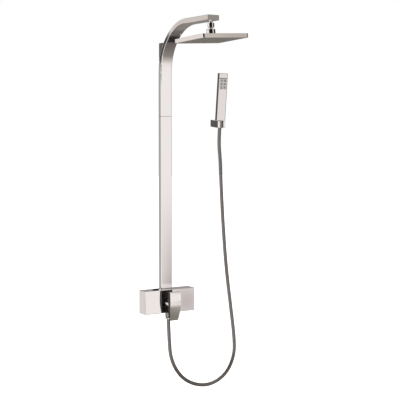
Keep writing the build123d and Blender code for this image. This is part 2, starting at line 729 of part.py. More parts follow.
# Bracket wall plate: screwed to the wall, with a tongue for the grub screw
plate_high = bracket_high - bracket_wall - slip_gap
plate_low = bracket_low + bracket_wall + slip_gap
plate_width = bracket_width - 2 * (bracket_wall + slip_gap)
tongue_top = plate_high - bracket_tongue_thickness
with BuildPart() as bracket_wall_plate:
    with BuildSketch(facing(0)):
        with Locations((0, (plate_high + plate_low) / 2)):
            Rectangle(plate_width, plate_high - plate_low)
        with Locations((0, bracket_low + bracket_hole_rise)):
            with GridLocations(bracket_hole_spacing, 0, 2, 1):
                Circle(bracket_hole_radius, mode=Mode.SUBTRACT)
    extrude(amount=bracket_plate_thickness)
    with BuildSketch(facing(0)):
        with Locations((0, plate_high - bracket_tongue_thickness / 2)):
            Rectangle(plate_width / 2, bracket_tongue_thickness)
    extrude(amount=bracket_tongue_reach)

# Bracket grub screw: through the bracket's top onto the tongue
with BuildPart() as bracket_grub_screw:
    post(level(0, bracket_tongue_reach - 2 * bracket_screw_radius, plate_high), bracket_screw_radius,
         bracket_high - plate_high)

# Ball stud: threaded into the arm, with a barrel above a ball
ball_axis = upright(0, head_depth, ball_z)
neck_join = sqrt(ball_radius ** 2 - ball_neck_radius ** 2)
barrel_high = ball_barrel_low + ball_barrel_height
stud_top = ball_drop + riser_wall + arm_boss_radius
with BuildPart() as ball_stud:
    with BuildSketch(ball_axis):
        with BuildLine():
            low_join = -sqrt(ball_radius ** 2 - ball_bore ** 2)
            sphere = ThreePointArc((low_join, ball_bore), (0, ball_radius), (neck_join, ball_neck_radius))
            Polyline(sphere @ 1, (ball_barrel_low - 1.5, ball_neck_radius),
                     (ball_barrel_low, ball_barrel_radius - 2.0),
                     (ball_barrel_low + 1.0, ball_barrel_radius), (barrel_high - 1.0, ball_barrel_radius),
                     (barrel_high, ball_barrel_radius - 1.0), (barrel_high, arm_thread_radius),
                     (stud_top, arm_thread_radius), (stud_top, ball_bore), sphere @ 0)
        make_face()
    revolve(axis=Axis(ball_axis.origin, ball_axis.x_dir))

# Ball seat: a ring cut from a shell about the ball's centre
seat_inside = ball_radius + running_gap
seat_outside = seat_inside + ball_seat_thickness
with BuildPart() as ball_seat:
    with Locations((0, -head_depth, ball_z)):
        Sphere(seat_outside)
        Sphere(seat_inside, mode=Mode.SUBTRACT)
    with BuildSketch(level(0, head_depth, ball_z + ball_seat_low)):
        Circle(2 * seat_outside)
    extrude(amount=ball_seat_high - ball_seat_low, mode=Mode.INTERSECT)

# The head's own frame: at the ball, tilted as it hangs
head_frame = Plane(Location((0, -head_depth, ball_z), (-head_tilt_front, -head_tilt_side, 0)))
head_axis = Plane(origin=head_frame.origin, x_dir=head_frame.z_dir, z_dir=head_frame.y_dir)
head_floor = -head_drop - head_height

# Ball collar: holds the seat round the ball and screws over the head's boss
with BuildPart() as ball_collar:
    collar_low = -head_drop + collar_stand
    boss_room_radius = head_boss_radius + slip_gap
    boss_room_top = head_boss_top + moving_gap
    lathe(head_axis, [(collar_low, 0), (collar_low, collar_radius - 1.0), (collar_low + 1.0, collar_radius),
                      (collar_top - 2.5, collar_radius), (collar_top, collar_radius - 2.5), (collar_top, 0)])
    lathe(head_axis, [(collar_low, 0), (collar_low, boss_room_radius), (boss_room_top, boss_room_radius),
                      (boss_room_top, 0)], Mode.SUBTRACT)
    lathe(head_axis, [(0, 0), (0, collar_opening), (collar_top, collar_opening), (collar_top, 0)],
          Mode.SUBTRACT)
    with BuildSketch(head_axis):
        with BuildLine():
            pocket = seat_outside + running_gap
            low_edge = sqrt(pocket ** 2 - head_boss_top ** 2)
            pocket_top = sqrt(pocket ** 2 - collar_lip_low ** 2)
            wall_arc = ThreePointArc((head_boss_top, low_edge), (0, pocket), (collar_lip_low, pocket_top))
            Polyline(wall_arc @ 1, (collar_lip_low, 0), (head_boss_top, 0), wall_arc @ 0)
        make_face()
    revolve(axis=Axis(head_axis.origin, head_axis.x_dir), mode=Mode.SUBTRACT)
    with Locations(head_frame.origin):
        Sphere(ball_radius + moving_gap, mode=Mode.SUBTRACT)

# Head top shell: a shallow square tray, open below, with a bored boss under the ball
ball_clear = ball_radius + ball_room
ball_seal_z = -9.6
ball_seal_radius = sqrt((ball_radius + o_ring_section + seam_gap) ** 2 - ball_seal_z ** 2)
with BuildPart() as head_top_shell:
    with BuildSketch(head_frame.offset(head_floor)):
        RectangleRounded(head_size, head_size, head_corner)
    extrude(amount=head_height)
    fillet(head_top_shell.faces().sort_by(Axis.Z)[-1].edges(), radius=head_wall)
    with BuildSketch(head_frame.offset(head_floor)):
        RectangleRounded(head_size - 2 * head_wall, head_size - 2 * head_wall, head_corner - head_wall)
    extrude(amount=head_height - head_wall, mode=Mode.SUBTRACT)
    with BuildSketch(head_frame.offset(-head_drop)):
        Circle(head_boss_radius)
    extrude(amount=head_drop + head_boss_top)
    with BuildSketch(head_frame.offset(-head_drop - head_wall)):
        Circle(head_boss_bore)
    extrude(amount=head_drop, mode=Mode.SUBTRACT)
    with Locations(head_frame.origin):
        Sphere(ball_clear, mode=Mode.SUBTRACT)
    ring(head_axis, ball_seal_radius, o_ring_section, ball_seal_z, Mode.SUBTRACT)

# Ball seal: an O-ring in the boss, against the ball
with BuildPart() as ball_o_ring:
    ring(head_axis, ball_seal_radius, o_ring_section - running_gap, ball_seal_z)

# Head face plate: closes the tray
plate_size = head_size - 2 * (head_wall + slip_gap)
with BuildPart() as head_face_plate:
    with BuildSketch(head_frame.offset(head_floor)):
        RectangleRounded(plate_size, plate_size, head_corner - head_wall)
    extrude(amount=head_plate_thickness)

# Head nozzles: soft tips under the plate
with BuildPart() as head_nozzles:
    with BuildSketch(head_frame.offset(head_floor)):
        with GridLocations(nozzle_pitch, nozzle_pitch, nozzle_count, nozzle_count):
            RegularPolygon(nozzle_radius, 6)
    extrude(amount=-nozzle_stand)

# Head gasket: a rubber frame between tray and plate
with BuildPart() as head_gasket:
    with BuildSketch(head_frame.offset(head_floor + head_plate_thickness)):
        RectangleRounded(plate_size, plate_size, head_corner - head_wall)
        Rectangle(plate_size - nozzle_pitch / 2, plate_size - nozzle_pitch / 2, mode=Mode.SUBTRACT)
    extrude(amount=head_gasket_thickness)

# Outlet nipple: screwed up into the valve body, threaded for the hose nut below the casing
nipple_low = outlet_z - outlet_length
nipple_high = outlet_z + casing_wall + outlet_length
with BuildPart() as outlet_nipple:
    lathe(upright(0, outlet_depth, 0),
          [(nipple_low, outlet_bore), (nipple_low, outlet_radius), (nipple_high, outlet_radius),
           (nipple_high, outlet_bore)])

# Hose nut at the mixer: a round nut over the nipple, closing in round the ferrule
nut_high = outlet_z - hose_nut_top
nut_low = nut_high - hose_nut_length
lower_end = nut_low - ferrule_stand
lower_flange_top = nipple_low - hose_washer_thickness
lower_axis = upright(0, outlet_depth, 0)
with BuildPart() as hose_nut:
    lathe(lower_axis,
          [(nut_low, ferrule_radius + running_gap), (nut_low, hose_nut_radius - 2.0),
           (nut_low + 4.0, hose_nut_radius), (nut_high - 1.0, hose_nut_radius),
           (nut_high, hose_nut_radius - 1.0),
           (nut_high, outlet_radius + running_gap),
           (lower_flange_top - ferrule_flange - seam_gap, outlet_radius + running_gap),
           (lower_flange_top - ferrule_flange - seam_gap, ferrule_radius + running_gap)])

# Hose washer at the mixer
with BuildPart() as hose_washer:
    lathe(lower_axis, [(lower_flange_top, outlet_bore), (lower_flange_top, ferrule_flange_radius),
                       (nipple_low, ferrule_flange_radius), (nipple_low, outlet_bore)])

# Lower ferrule: a flanged tube held by the nut, with the hose on its end
with BuildPart() as lower_ferrule:
    lathe(lower_axis, [(lower_end, hose_bore), (lower_end, ferrule_radius),
                       (lower_flange_top - ferrule_flange, ferrule_radius),
                       (lower_flange_top - ferrule_flange, ferrule_flange_radius),
                       (lower_flange_top, ferrule_flange_radius), (lower_flange_top, hose_bore)])

# The hand shower's leaning frame: its origin is where the axis meets the fork's top
seat_frame = Plane(Location((holder_x, -seat_depth, holder_z), (holder_lean, 0, 0)))
seat_axis = Plane(origin=seat_frame.origin, x_dir=seat_frame.z_dir, z_dir=seat_frame.y_dir)
cone_top = handset_stand - seam_gap
cone_low = cone_top - cone_length
upper_end = cone_low - ferrule_stand
thread_end = cone_top - handset_thread_length
upper_washer_low = thread_end - hose_washer_thickness
taper_rate = (cone_top_radius - cone_end_radius) / cone_length


def cone_radius(along, gap=0.0):
    """Radius of the cone nut, or of a seat round it, at a height on the leaning axis."""
    return cone_end_radius + taper_rate * (along - cone_low) + gap


# Cone nut: the hose's upper nut, whose taper sits in the fork
with BuildPart() as hose_cone_nut:
    lathe(seat_axis, [(cone_low, ferrule_radius - 2 * taper_rate), (cone_low, cone_end_radius),
                      (cone_top, cone_top_radius), (cone_top, handset_thread_radius + slip_gap),
                      (upper_washer_low - ferrule_flange - seam_gap, handset_thread_radius + slip_gap),
                      (upper_washer_low - ferrule_flange - seam_gap, ferrule_radius - 2 * taper_rate)])

# Cone washer between the hand shower and the upper ferrule
with BuildPart() as cone_washer:
    washer_high = thread_end - seam_gap
    lathe(seat_axis, [(upper_washer_low, handset_thread_bore), (upper_washer_low, handset_thread_radius),
                      (washer_high, handset_thread_radius), (washer_high, handset_thread_bore)])

# Upper ferrule: a flanged tube held by the cone nut, with the hose on its end
upper_tail_radius = ferrule_radius - 2 * taper_rate - slip_gap - 1.0
with BuildPart() as upper_ferrule:
    lathe(seat_axis, [(upper_end, hose_bore), (upper_end, upper_tail_radius),
                      (upper_washer_low - ferrule_flange, upper_tail_radius),
                      (upper_washer_low - ferrule_flange, handset_thread_radius),
                      (upper_washer_low, handset_thread_radius), (upper_washer_low, hose_bore)])

# Hose route: down from the mixer, round the hanging loop and up to the cone nut
hose_start = Vector(0, -outlet_depth, lower_end)
hose_end = seat_frame.origin + seat_frame.z_dir * upper_end
loop_steps = [(0, 0, -76), (8, 0, -169), (58, -1, -246), (130, -2, -289), (204, -3, -289), (280, -4, -252),
              (318, -4, -183), (317, -4, -113)]
leg_steps = [(58, 3, 0.15), (37, 4, 0.35), (22, 5, 0.57), (12, 6, 0.75), (4, 7, 0.86)]
lead_in = 60.0
hose_route = [hose_start]
hose_route += [hose_start + Vector(step) for step in loop_steps]
climb_from = hose_route[-1].Z
for right, back, climb in leg_steps:
    rise = climb * (hose_end.Z - climb_from)
    hose_route.append(Vector(hose_end.X + right, hose_end.Y + back, climb_from + rise))
hose_route += [hose_end - seat_frame.z_dir * lead_in, hose_end]


def bend_radii(route):
    """Each corner's arc, as large as its two runs allow."""
    radii = []
    for before, corner, after in zip(route, route[1:], route[2:]):
        shorter = min((corner - before).length, (after - corner).length)
        half_turn = radians((corner - before).get_angle(after - corner)) / 2
        radii.append(0.45 * shorter / tan(half_turn))
    return radii


# Hose: ribs of a groove and a crest each, on the route, with a plain bore
hose_radii = bend_radii(hose_route)
with BuildLine() as hose_line:
    FilletPolyline(*hose_route, radius=hose_radii)
hose_path = hose_line.wire()
hose_length = hose_path.length
rib_pitch = (hose_length - 4 * hose_radius) / hose_rib_count
rib_profile = [(0.0, hose_groove_radius), (0.2, hose_radius), (0.7, hose_radius), (0.9, hose_groove_radius)]
stations = [(0.0, hose_groove_radius)]
for rib in range(hose_rib_count):
    for share, radius in rib_profile:
        stations.append((2 * hose_radius + (rib + share) * rib_pitch, radius))
stations.append((hose_length, hose_groove_radius))


def hose_section(along, radius):
    """Circle square to the hose, with its X axis kept square to the route's own plane."""
    share = along / hose_length
    tangent = hose_path.tangent_at(share)
    side = Vector(0, 1, 0).cross(tangent)
    plane = Plane(origin=hose_path.position_at(share), x_dir=side, z_dir=tangent)
    return plane * Circle(radius)


hose_sections = [hose_section(along, radius) for along, radius in stations]
with BuildPart() as hose:
    loft(hose_sections, ruled=True)
    with BuildSketch(Plane(origin=hose_route[0], x_dir=(1, 0, 0), z_dir=(0, 0, -1))) as bore_section:
        Circle(hose_bore)
    sweep(bore_section.sketch, path=hose_path, mode=Mode.SUBTRACT)
print("hose length", round(hose_length, 1), "least bend radius", round(min(hose_radii), 1))
print("hose volume", round(hose.part.volume), "plain tube",
      round(pi * (hose_radius ** 2 - hose_bore ** 2) * hose_length))

# Holder fork: a leaning block with a tapered seat that is open to the front, hollowed at the wall
with BuildPart() as holder_fork:
    with BuildSketch(Plane.YZ.offset(holder_x)):
        slope = tan(radians(holder_lean))
        rear_top = holder_z + seat_depth * slope
        front_top = rear_top - holder_reach * slope
        with BuildLine():
            Polyline((0, rear_top), (-holder_reach, front_top), (-holder_reach, front_top - holder_height),
                     (0, rear_top - holder_height), close=True)
        make_face()
    extrude(amount=holder_width / 2, both=True)
    fillet(holder_fork.faces().sort_by(Axis.Y)[0].edges(), radius=holder_edge)
    seat_low = -holder_height - 3.0
    seat_high = 3.0
    seat_room = liner_wall + moving_gap
    lathe(seat_axis, [(seat_low, 0), (seat_low, cone_radius(seat_low, seat_room)),
                      (seat_high, cone_radius(seat_high, seat_room)), (seat_high, 0)], Mode.SUBTRACT)
    with BuildSketch(seat_frame.offset(seat_low)):
        with Locations((0, -holder_reach / 2)):
            Rectangle(fork_slot, holder_reach)
    extrude(amount=seat_high - seat_low, mode=Mode.SUBTRACT)
    pocket_z = rear_top - holder_height / 2
    with BuildSketch(facing(0)):
        with Locations((holder_x, pocket_z)):
            Rectangle(holder_plate_width + 2 * slip_gap, holder_plate_height + 2 * slip_gap)
    extrude(amount=holder_pocket_depth, mode=Mode.SUBTRACT)
    screw_low = rear_top - holder_height
    screw_place = holder_plate_thickness / 2 + 3.0
    post(level(holder_x, screw_place, screw_low - 2.0), holder_screw_radius + running_gap, holder_height / 2,
         Mode.SUBTRACT)

# Seat liner: a plastic sleeve, split at the slot, that takes the cone nut
with BuildPart() as seat_liner:
    liner_low = -holder_height + 1.0
    liner_high = -0.5
    lathe(seat_axis, [(liner_low, cone_radius(liner_low, moving_gap)),
                      (liner_low, cone_radius(liner_low, moving_gap + liner_wall - running_gap)),
                      (liner_high, cone_radius(liner_high, moving_gap + liner_wall - running_gap)),
                      (liner_high, cone_radius(liner_high, moving_gap))])
    with BuildSketch(seat_frame.offset(liner_low)):
        with Locations((0, -holder_reach / 2)):
            Rectangle(fork_slot, holder_reach)
    extrude(amount=liner_high - liner_low, mode=Mode.SUBTRACT)

# Holder wall plate: screwed to the wall inside the fork's pocket, with a tongue for the grub screw
with BuildPart() as holder_wall_plate:
    with BuildSketch(facing(0)):
        with Locations((holder_x, pocket_z)):
            Rectangle(holder_plate_width, holder_plate_height)
            with GridLocations(holder_hole_spacing, 0, 2, 1):
                Circle(holder_hole_radius, mode=Mode.SUBTRACT)
    extrude(amount=holder_plate_thickness)
    with BuildSketch(facing(0)):
        with Locations((holder_x, pocket_z - holder_plate_height / 2 + 1.5)):
            Rectangle(3 * holder_screw_radius, 3.0)
    extrude(amount=holder_plate_thickness + 6.0)

# Holder grub screw: up through the fork onto the tongue
with BuildPart() as holder_grub_screw:
    grub_top = pocket_z - holder_plate_height / 2
    post(level(holder_x, screw_place, grub_top), holder_screw_radius, screw_low - grub_top + 0.5)

# Hand shower body: a flat hollow stick, open where the spray plate and the connector go in
handset_front = handset_thickness / 2
spray_middle = handset_stand + spray_plate_low + spray_plate_height / 2
spray_point = seat_frame.origin + seat_frame.z_dir * spray_middle - seat_frame.y_dir * handset_front
spray_plane = Plane(origin=spray_point, x_dir=seat_frame.x_dir, z_dir=-seat_frame.y_dir)
with BuildPart() as handset_body:
    with BuildSketch(seat_frame.offset(handset_stand)):
        RectangleRounded(handset_width, handset_thickness, handset_corner)
    extrude(amount=handset_length)
    fillet(handset_body.faces().sort_by(Axis.Z)[-1].edges(), radius=handset_top_edge)
    fillet(handset_body.faces().sort_by(Axis.Z)[0].edges(), radius=handset_low_edge)
    with BuildSketch(seat_frame.offset(handset_stand + handset_thread_length)):
        RectangleRounded(handset_width - 2 * handset_wall, handset_thickness - 2 * handset_wall,
                         handset_corner - handset_wall)
    extrude(amount=handset_length - handset_thread_length - handset_wall, mode=Mode.SUBTRACT)
    with BuildSketch(spray_plane):
        RectangleRounded(spray_plate_width, spray_plate_height, handset_corner)
    extrude(amount=-spray_plate_thickness, mode=Mode.SUBTRACT)
    with BuildSketch(spray_plane):
        with Locations((0, spray_plate_height / 2 + spray_groove_rise)):
            Rectangle(handset_width, spray_groove)
    extrude(amount=-spray_groove_depth, mode=Mode.SUBTRACT)
    with BuildSketch(seat_frame.offset(handset_stand)):
        Circle(handset_thread_radius - 2.0)
    extrude(amount=handset_thread_length, mode=Mode.SUBTRACT)

# Hand shower connector: pressed into the lower end, threaded for the cone nut
with BuildPart() as handset_connector:
    stem_radius = handset_thread_radius - 2.0 - running_gap
    lathe(seat_axis, [(thread_end, handset_thread_bore - 0.5), (thread_end, handset_thread_radius),
                      (handset_stand, handset_thread_radius), (handset_stand, stem_radius),
                      (handset_stand + handset_thread_length, stem_radius),
                      (handset_stand + handset_thread_length, handset_thread_bore - 0.5)])

# Spray plate: an inset panel in the hand shower's front
with BuildPart() as spray_plate:
    with BuildSketch(spray_plane):
        RectangleRounded(spray_plate_width - 2 * slip_gap, spray_plate_height - 2 * slip_gap,
                         handset_corner - slip_gap)
    extrude(amount=-spray_plate_thickness)

# Spray nozzles: soft tips on the plate, in groups of four
with BuildPart() as spray_nozzles:
    with BuildSketch(spray_plane):
        with GridLocations(spray_pitch_x, spray_pitch_z, spray_columns, spray_rows):
            with GridLocations(spray_nozzle_pitch, spray_nozzle_pitch, 2, 2):
                RegularPolygon(spray_nozzle_radius, 8)
    extrude(amount=spray_nozzle_stand)

pieces = {
    "mixer_casing": mixer_casing,
    "back_plate": back_plate,
    "valve_body": valve_body,
    "inlet_filters": inlet_filters,
    "cartridge_housing": cartridge_housing,
    "cartridge_base_seal": cartridge_base_seal,
    "fixed_ceramic_disc": fixed_ceramic_disc,
    "moving_ceramic_disc": moving_ceramic_disc,
    "disc_driver": disc_driver,
    "stem_carrier": stem_carrier,
    "stem_pin": stem_pin,
    "cartridge_stem": cartridge_stem,
    "cartridge_nut": cartridge_nut,
    "cartridge_dome": cartridge_dome,
    "lever_handle": lever_handle,
    "lever_grub_screw": lever_grub_screw,
    "lever_plug": lever_plug,
    "diverter_bush": diverter_bush,
    "diverter_spool": diverter_spool,
    "diverter_o_ring": diverter_o_ring,
    "diverter_knob": diverter_knob,
    "riser_spigot": riser_spigot,
    "spigot_o_rings": spigot_o_rings,
    "riser_base_plug": riser_base_plug,
    "lower_riser": lower_riser,
    "riser_coupling": riser_coupling,
    "coupling_seals": coupling_seals,
    "arm_tube": arm_tube,
    "arm_end_cap": arm_end_cap,
    "arm_outlet_boss": arm_outlet_boss,
    "bracket_body": bracket_body,
    "bracket_wall_plate": bracket_wall_plate,
    "bracket_grub_screw": bracket_grub_screw,
    "ball_stud": ball_stud,
    "ball_seat": ball_seat,
    "ball_collar": ball_collar,
    "ball_o_ring": ball_o_ring,
    "head_top_shell": head_top_shell,
    "head_face_plate": head_face_plate,
    "head_nozzles": head_nozzles,
    "head_gasket": head_gasket,
    "outlet_nipple": outlet_nipple,
    "hose_nut": hose_nut,
    "hose_washer": hose_washer,
    "lower_ferrule": lower_ferrule,
    "hose": hose,
    "upper_ferrule": upper_ferrule,
    "cone_washer": cone_washer,
    "hose_cone_nut": hose_cone_nut,
    "holder_fork": holder_fork,
    "seat_liner": seat_liner,
    "holder_wall_plate": holder_wall_plate,
    "holder_grub_screw": holder_grub_screw,
    "handset_body": handset_body,
    "handset_connector": handset_connector,
    "spray_plate": spray_plate,
    "spray_nozzles": spray_nozzles,
}
os.makedirs("parts", exist_ok=True)
for name, piece in pieces.items():
    piece.part.label = name
    export_step(piece.part, f"parts/{name}.step")
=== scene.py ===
import json
from math import cos, floor, pi, radians, sin

import bmesh
import bpy
from mathutils import Matrix, Vector


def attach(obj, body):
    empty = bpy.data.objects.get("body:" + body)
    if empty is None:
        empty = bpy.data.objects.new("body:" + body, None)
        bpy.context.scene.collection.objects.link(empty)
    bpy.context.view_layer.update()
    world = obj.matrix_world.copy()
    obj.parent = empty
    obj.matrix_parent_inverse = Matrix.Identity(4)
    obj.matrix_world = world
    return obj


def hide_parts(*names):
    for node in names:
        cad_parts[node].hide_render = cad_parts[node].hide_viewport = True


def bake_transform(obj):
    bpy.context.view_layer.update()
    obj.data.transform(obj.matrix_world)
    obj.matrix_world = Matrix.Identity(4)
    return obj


# Looks of the rainfall shower column, in metres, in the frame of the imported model: the wall is the plane
# Y = 0, the front faces -Y, +Z is up and the origin is the middle of the mixer's back.
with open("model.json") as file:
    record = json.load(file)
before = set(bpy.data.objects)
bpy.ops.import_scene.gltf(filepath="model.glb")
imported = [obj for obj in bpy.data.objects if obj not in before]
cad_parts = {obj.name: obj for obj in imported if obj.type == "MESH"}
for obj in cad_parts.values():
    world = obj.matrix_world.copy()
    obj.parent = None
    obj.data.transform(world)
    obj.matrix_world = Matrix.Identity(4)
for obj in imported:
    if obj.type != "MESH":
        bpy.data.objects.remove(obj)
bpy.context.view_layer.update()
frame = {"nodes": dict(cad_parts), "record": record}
nodes = frame["nodes"]
scene = bpy.context.scene
scene.view_settings.view_transform = "Standard"

MM = 0.001

# Camera, fitted to the photograph's straight edges; its pitch and yaw are in degrees
PHOTO_PIXELS = 400
FOCAL_PIXELS = 1070.3
SENSOR_MM = 36.0
CAMERA_PLACE = (-2.1764, -3.6906, 0.6688)
CAMERA_PITCH = -3.575
CAMERA_YAW = 32.471

# Seat of the hand shower in its holder, on a leaning axis
HOLDER_LEAN = radians(6)
SEAT_UP = Vector((0, -sin(HOLDER_LEAN), cos(HOLDER_LEAN)))
SEAT_FRONT = Vector((0, -cos(HOLDER_LEAN), -sin(HOLDER_LEAN)))
SEAT = Vector((241 * MM, -44 * MM, 719 * MM))


def mesh_object(name, bm):
    """New object from a bmesh."""
    mesh = bpy.data.meshes.new(name)
    bm.to_mesh(mesh)
    bm.free()
    obj = bpy.data.objects.new(name, mesh)
    scene.collection.objects.link(obj)
    return obj


def join_rings(bm, rings):
    """Faces between the rings of vertices that follow one another."""
    for first, second in zip(rings, rings[1:]):
        for corner in range(len(first)):
            after = (corner + 1) % len(first)
            bm.faces.new((first[corner], first[after], second[after], second[corner]))


# Shader values

def math_value(tree, operation, first, second=None):
    """Math node on sockets or numbers."""
    node = tree.nodes.new("ShaderNodeMath")
    node.operation = operation
    for number, value in enumerate((first, second)):
        if value is None:
            continue
        if isinstance(value, float):
            node.inputs[number].default_value = value
        else:
            tree.links.new(value, node.inputs[number])
    return node.outputs["Value"]


def map_range(tree, source, start, end, low=0.0, high=1.0, smooth=False):
    """Value that goes from low to high while the source goes from start to end."""
    node = tree.nodes.new("ShaderNodeMapRange")
    if smooth:
        node.interpolation_type = "SMOOTHSTEP"
    node.inputs["From Min"].default_value = start
    node.inputs["From Max"].default_value = end
    node.inputs["To Min"].default_value = low
    node.inputs["To Max"].default_value = high
    tree.links.new(source, node.inputs["Value"])
    return node.outputs["Result"]


def soft_window(tree, source, rise, fall):
    """1 from the end of the rise to the start of the fall, and 0 outside both."""
    above = map_range(tree, source, *rise, smooth=True)
    below = map_range(tree, source, *fall, 1.0, 0.0, smooth=True)
    return math_value(tree, "MULTIPLY", above, below)


def mix_in(tree, mask, source, value, kind="RGBA"):
    """What the source gives, changed to a set value where the mask is 1."""
    node = tree.nodes.new("ShaderNodeMix")
    node.data_type = kind
    node.inputs["B"].default_value = value
    tree.links.new(mask, node.inputs["Factor"])
    tree.links.new(source, node.inputs["A"])
    return node.outputs["Result"]


def mix_shaders(tree, mask, first, second):
    """First shader, changed to the second where the mask is 1."""
    node = tree.nodes.new("ShaderNodeMixShader")
    tree.links.new(mask, node.inputs["Fac"])
    tree.links.new(first, node.inputs[1])
    tree.links.new(second, node.inputs[2])
    return node.outputs["Shader"]


def split_vector(tree, source):
    """Outputs X, Y and Z of a vector."""
    node = tree.nodes.new("ShaderNodeSeparateXYZ")
    tree.links.new(source, node.inputs["Vector"])
    return node.outputs


# Materials

# Range that most of a noise's values lie in
NOISE_LOW = 0.3
NOISE_HIGH = 0.7
# Scale of the slow drift in a metal's tone and in a plastic's
METAL_DRIFT = 9.0
PLASTIC_DRIFT = 40.0
DRIFT_DETAIL = 3.0
METAL_GRAIN_DETAIL = 5.0
PLASTIC_GRAIN_DETAIL = 4.0
BUMP_DEPTH = 0.2 * MM
# A face counts as a side, whose colour gets painted shade, from the first of these shares of its normal, and
# fully at the second
SIDE_FROM = 0.3
SIDE_FULL = 0.6


def new_material(name):
    """Material, with its node tree and principled shader."""
    material = bpy.data.materials.new(name)
    material.use_nodes = True
    tree = material.node_tree
    return material, tree, tree.nodes["Principled BSDF"]


def add_noise(tree, scale, detail, stretch=(1, 1, 1)):
    """Noise in object space, stretched along the axes."""
    place = tree.nodes.new("ShaderNodeTexCoord")
    mapping = tree.nodes.new("ShaderNodeMapping")
    mapping.inputs["Scale"].default_value = stretch
    noise = tree.nodes.new("ShaderNodeTexNoise")
    noise.inputs["Scale"].default_value = scale
    noise.inputs["Detail"].default_value = detail
    tree.links.new(place.outputs["Object"], mapping.inputs["Vector"])
    tree.links.new(mapping.outputs["Vector"], noise.inputs["Vector"])
    return noise.outputs["Fac"]


def drift_colour(tree, shader, source, dark, light):
    """Base colour between two tones."""
    node = tree.nodes.new("ShaderNodeMix")
    node.data_type = "RGBA"
    node.inputs["A"].default_value = (*dark, 1)
    node.inputs["B"].default_value = (*light, 1)
    tree.links.new(source, node.inputs["Factor"])
    tree.links.new(node.outputs["Result"], shader.inputs["Base Color"])


def grain_roughness(tree, shader, grain, low, high):
    """Roughness that follows the grain."""
    rough = map_range(tree, grain, NOISE_LOW, NOISE_HIGH, low, high)
    tree.links.new(rough, shader.inputs["Roughness"])


def add_bump(tree, shader, source, strength):
    """Bump from a height value."""
    bump = tree.nodes.new("ShaderNodeBump")
    bump.inputs["Strength"].default_value = strength
    bump.inputs["Distance"].default_value = BUMP_DEPTH
    tree.links.new(source, bump.inputs["Height"])
    tree.links.new(bump.outputs["Normal"], shader.inputs["Normal"])


def metal(name, dark, light, rough_low, rough_high, grain_scale, stretch=(1, 1, 1), bump=0.0):
    """Polished or brushed metal: its tone and roughness drift, with a fine grain."""
    material, tree, shader = new_material(name)
    shader.inputs["Metallic"].default_value = 1.0
    drift_colour(tree, shader, add_noise(tree, METAL_DRIFT, DRIFT_DETAIL), dark, light)
    grain = add_noise(tree, grain_scale, METAL_GRAIN_DETAIL, stretch)
    grain_roughness(tree, shader, grain, rough_low, rough_high)
    if bump:
        add_bump(tree, shader, grain, bump)
    return material


def chrome(name):
    """Bright polished chrome."""
    return metal(name, (0.86, 0.85, 0.85), (0.90, 0.89, 0.89), 0.008, 0.02, 60.0)


def plastic(name, dark, light, rough_low, rough_high, grain_scale, bump):
    """Moulded plastic, rubber or ceramic with a fine surface grain."""
    material, tree, shader = new_material(name)
    drift_colour(tree, shader, add_noise(tree, PLASTIC_DRIFT, DRIFT_DETAIL), dark, light)
    grain = add_noise(tree, grain_scale, PLASTIC_GRAIN_DETAIL)
    grain_roughness(tree, shader, grain, rough_low, rough_high)
    add_bump(tree, shader, grain, bump)
    return material


def change_where(material, mask, changes):
    """Give the shader's sockets other values where the mask is 1."""
    tree = material.node_tree
    shader = tree.nodes["Principled BSDF"]
    for name, value, kind in changes:
        socket = shader.inputs[name]
        tree.links.new(mix_in(tree, mask, socket.links[0].from_socket, value, kind), socket)
    return material


def painted_shade_on_dull_sides(material, dark, rough, back):
    """Leave the side faces, and those towards the wall where back is set, dull, and darken their colour with
    painted shade.
    """
    tree = material.node_tree
    place = tree.nodes.new("ShaderNodeTexCoord")
    normal = split_vector(tree, place.outputs["Normal"])
    turned = math_value(tree, "ABSOLUTE", normal["X"])
    if back:
        turned = math_value(tree, "MAXIMUM", turned, normal["Y"])
    mask = map_range(tree, turned, SIDE_FROM, SIDE_FULL)
    return change_where(material, mask, [("Base Color", (*dark, 1), "RGBA"), ("Roughness", rough, "FLOAT")])


def painted_shadow_band(material, dark, bands):
    """Paint a shadow black where each of the directions reaches between its low and high distance."""
    tree = material.node_tree
    place = tree.nodes.new("ShaderNodeTexCoord")
    inside = None
    for direction, low, high in bands:
        reach = tree.nodes.new("ShaderNodeVectorMath")
        reach.operation = "DOT_PRODUCT"
        reach.inputs[1].default_value = direction
        tree.links.new(place.outputs["Object"], reach.inputs[0])
        for edge, operation in ((low, "GREATER_THAN"), (high, "LESS_THAN")):
            test = math_value(tree, operation, reach.outputs["Value"], edge)
            inside = test if inside is None else math_value(tree, "MULTIPLY", inside, test)
    return change_where(material, inside, [("Base Color", (*dark, 1), "RGBA")])


def dark_edge(material, tint):
    """Dull the metal where it turns away from the eye."""
    material.node_tree.nodes["Principled BSDF"].inputs["Specular Tint"].default_value = (*tint, 1)
    return material


# Lines that lie in shadow: the groove across the hand shower, by its height and depth from the seat, and the
# gap round the riser's foot, by its height
groove_bands = [(direction, SEAT.dot(direction) + low, SEAT.dot(direction) + high)
                for direction, low, high in ((SEAT_UP, 171.4 * MM, 174.0 * MM),
                                             (SEAT_FRONT, 5.5 * MM, 6.9 * MM))]
foot_bands = [(Vector((0, 0, 1)), 46.0 * MM, 47.9 * MM)]

